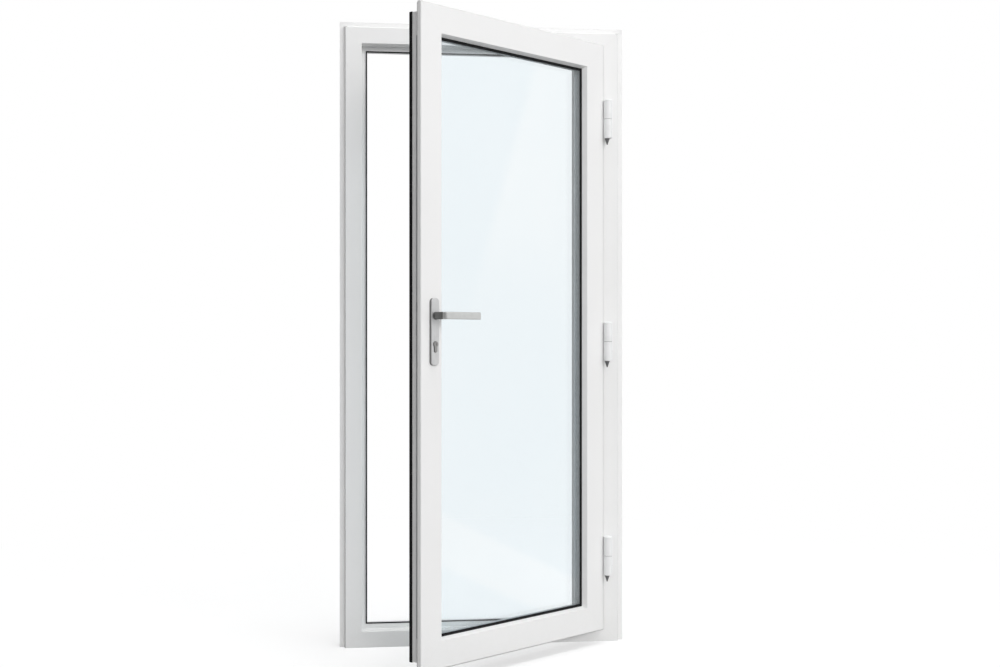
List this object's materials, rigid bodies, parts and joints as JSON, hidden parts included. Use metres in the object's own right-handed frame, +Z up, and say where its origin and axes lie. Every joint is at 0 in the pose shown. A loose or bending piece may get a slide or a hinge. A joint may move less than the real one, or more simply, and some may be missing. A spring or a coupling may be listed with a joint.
{
  "type": "single-leaf glazed plastic hinged door with frame",
  "caption": "Full-height glazed hinged door of white plastic profiles in its frame, standing open, with barrel hinges, a lever handle on a long plate and a lock along the free edge.",
  "frame": {"origin": "middle of the sill's underside, halfway through the frame's depth", "axes": "+Z up the jambs, +X from the lock jamb to the hinge jamb, -Y the side that the leaf opens towards"},
  "size_m": [0.966, 0.6395, 2.1],
  "materials": {
    "frame_plastic": "smooth white extruded profile, satin gloss",
    "leaf_plastic": "smooth white extruded profile, satin gloss",
    "hinge_coating": "white powder coat, satin",
    "pin_steel": "ground steel",
    "rubber_seal": "matt black extruded rubber",
    "glass": "clear float glass with a faint cool tint",
    "spacer_bar": "dull mill aluminium",
    "handle_satin": "satin anodised silver",
    "cylinder_nickel": "satin nickel",
    "lock_steel": "bright zinc-plated steel"
  },
  "bodies": {
    "frame": {"frame_head": "frame_plastic", "frame_sill": "frame_plastic", "frame_jamb_lock": "frame_plastic", "frame_jamb_hinge": "frame_plastic", "frame_seal": "rubber_seal", "keep_centre": "lock_steel", "keep_lower": "lock_steel", "keep_upper": "lock_steel", "hinge_frame_bottom": "hinge_coating", "hinge_frame_middle": "hinge_coating", "hinge_frame_top": "hinge_coating", "hinge_pin_bottom": "pin_steel", "hinge_pin_middle": "pin_steel", "hinge_pin_top": "pin_steel"},
    "leaf": {"leaf_rail_top": "leaf_plastic", "leaf_rail_bottom": "leaf_plastic", "leaf_stile_lock": "leaf_plastic", "leaf_stile_hinge": "leaf_plastic", "bead_top": "leaf_plastic", "bead_bottom": "leaf_plastic", "bead_lock": "leaf_plastic", "bead_hinge": "leaf_plastic", "glass_front": "glass", "glass_rear": "glass", "glass_spacer": "spacer_bar", "glazing_seal_front": "rubber_seal", "glazing_seal_rear": "rubber_seal", "leaf_seal_overlap": "rubber_seal", "leaf_seal_corner": "rubber_seal", "lock_faceplate": "lock_steel", "latch_bolt": "lock_steel", "dead_bolt": "lock_steel", "hook_bolts": "lock_steel", "backplate_front": "handle_satin", "backplate_rear": "handle_satin", "cylinder": "cylinder_nickel", "hinge_leaf_bottom": "hinge_coating", "hinge_leaf_middle": "hinge_coating", "hinge_leaf_top": "hinge_coating"},
    "lever_set": {"lever": "handle_satin", "spindle": "cylinder_nickel"}
  },
  "joints": [
    {"name": "leaf_swing", "type": "hinge", "parent": "frame", "child": "leaf", "pos_m": [0.423, -0.072, 1.04], "axis": [0, 0, 1], "range_deg": [-38.6, 131.4]},
    {"name": "lever_turn", "type": "hinge", "parent": "leaf", "child": "lever_set", "pos_m": [-0.22762, -0.52485, 1.104], "axis": [-0.6239, 0.7815, 0], "range_deg": [0, 45], "stiffness_Nm_per_rad": 1.2, "springref_deg": -40.11}
  ]
}
